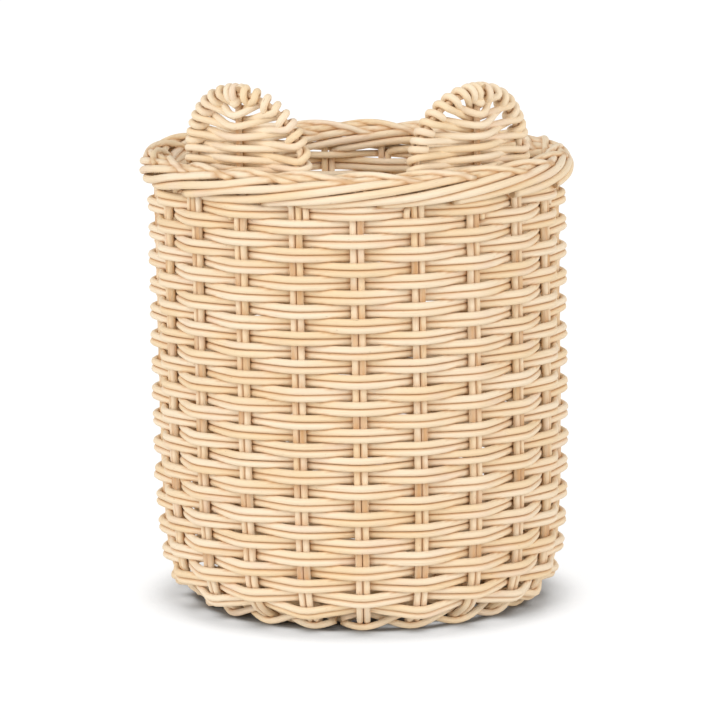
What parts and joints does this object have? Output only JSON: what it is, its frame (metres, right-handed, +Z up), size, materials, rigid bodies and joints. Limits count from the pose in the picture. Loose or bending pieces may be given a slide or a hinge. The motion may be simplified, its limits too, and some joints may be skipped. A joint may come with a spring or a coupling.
{
  "type": "woven cane basket",
  "caption": "Round open-topped storage basket woven from pale round cane, with a rolled border and a pair of small woven ears standing on the front of the rim.",
  "frame": {"origin": "on the floor under the middle of the basket", "axes": "+Z up, -Y towards the front, where the two ears stand, +X to the right seen from the front"},
  "size_m": [0.2559, 0.2558, 0.3231],
  "materials": {
    "rattan": "natural round-core rattan cane, semi-matt, fine lengthwise grain"
  },
  "bodies": {
    "root": {"stake_01": "rattan", "stake_02": "rattan", "stake_03": "rattan", "stake_04": "rattan", "stake_05": "rattan", "stake_06": "rattan", "stake_07": "rattan", "stake_08": "rattan", "stake_09": "rattan", "stake_10": "rattan", "stake_11": "rattan", "stake_12": "rattan", "stake_13": "rattan", "stake_14": "rattan", "stake_15": "rattan", "stake_16": "rattan", "stake_17": "rattan", "stake_18": "rattan", "stake_19": "rattan", "stake_20": "rattan", "stake_21": "rattan", "bye_stake_01": "rattan", "bye_stake_02": "rattan", "bye_stake_03": "rattan", "bye_stake_04": "rattan", "bye_stake_05": "rattan", "bye_stake_06": "rattan", "bye_stake_07": "rattan", "bye_stake_08": "rattan", "bye_stake_09": "rattan", "bye_stake_10": "rattan", "bye_stake_11": "rattan", "bye_stake_12": "rattan", "bye_stake_13": "rattan", "bye_stake_14": "rattan", "bye_stake_15": "rattan", "bye_stake_16": "rattan", "bye_stake_17": "rattan", "bye_stake_18": "rattan", "bye_stake_19": "rattan", "bye_stake_20": "rattan", "bye_stake_21": "rattan", "wall_weaver_1_upper": "rattan", "wall_weaver_1_lower": "rattan", "wall_weaver_2_upper": "rattan", "wall_weaver_2_lower": "rattan", "wall_weaver_3_upper": "rattan", "wall_weaver_3_lower": "rattan", "wall_weaver_4_upper": "rattan", "wall_weaver_4_lower": "rattan", "foot_weaver_a": "rattan", "foot_weaver_b": "rattan", "base_spokes": "rattan", "base_weaver": "rattan", "ear_left_hoop": "rattan", "ear_left_rib": "rattan", "ear_left_weaver": "rattan", "ear_right_hoop": "rattan", "ear_right_rib": "rattan", "ear_right_weaver": "rattan"}
  },
  "joints": []
}
